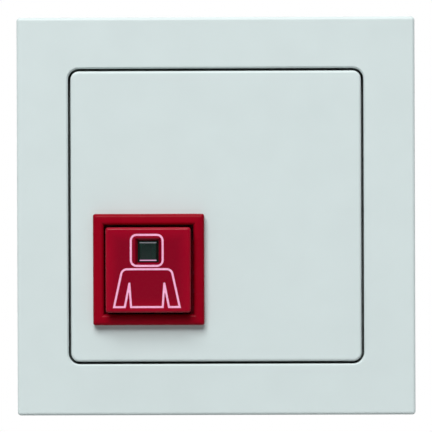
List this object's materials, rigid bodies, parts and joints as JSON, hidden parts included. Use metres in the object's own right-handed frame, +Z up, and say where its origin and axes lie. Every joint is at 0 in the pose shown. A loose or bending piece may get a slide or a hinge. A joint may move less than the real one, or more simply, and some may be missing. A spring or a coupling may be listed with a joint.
{
  "type": "nurse call button",
  "caption": "Flush wall call button: square cover frame and centre plate, red push-button with a green indicator lens and a person sign, steel support plate and rear housing.",
  "frame": {"origin": "centre of the four fixing slots, on the support plate's rear face, in the wall plane", "axes": "+X to the right as seen from the room, +Y into the wall, +Z up"},
  "size_m": [0.0804, 0.033, 0.0804],
  "materials": {
    "white_plastic": "satin",
    "red_plastic": "satin",
    "green_lens": "gloss",
    "natural_plastic": "satin",
    "spring_steel": "satin",
    "grey_plastic": "matte",
    "galvanised_steel": "satin",
    "screw_steel": "satin",
    "board_laminate": "satin",
    "black_plastic": "satin",
    "dome_rubber": "matte",
    "tinned_metal": "satin",
    "lamp_resin": "gloss",
    "chip_ceramic": "satin",
    "terminal_plastic": "satin",
    "contact_brass": "satin"
  },
  "bodies": {
    "insert": {"cover_frame": "white_plastic", "centre_plate": "white_plastic", "button_collar": "red_plastic", "return_spring": "spring_steel", "module_cover": "grey_plastic", "support_plate": "galvanised_steel", "module_base": "grey_plastic", "housing_screws": "screw_steel", "circuit_board": "board_laminate", "board_screws": "screw_steel", "switch_body": "black_plastic", "switch_cover": "spring_steel", "contact_dome": "dome_rubber", "switch_pins": "tinned_metal", "indicator_led": "lamp_resin", "led_leads": "tinned_metal", "chip_resistors": "chip_ceramic", "suppressor_diode": "black_plastic", "terminal_block": "terminal_plastic", "terminal_springs": "spring_steel", "terminal_pins": "contact_brass"},
    "call_key": {"call_button": "red_plastic", "indicator_lens": "green_lens", "key_slider": "natural_plastic"},
    "key_switch": {"switch_plunger": "black_plastic"}
  },
  "joints": [
    {"name": "button_press", "type": "slide", "parent": "insert", "child": "call_key", "axis": [0, 1, 0], "range_m": [0, 0.0015], "stiffness_N_per_m": 400, "deforming": ["return_spring"]},
    {"name": "switch_press", "type": "slide", "parent": "insert", "child": "key_switch", "axis": [0, 1, 0], "range_m": [0, 0.0015], "stiffness_N_per_m": 100, "deforming": ["contact_dome"]}
  ],
  "couplings": [
    {"joint": "switch_press", "follows": "button_press", "ratio": 1}
  ]
}
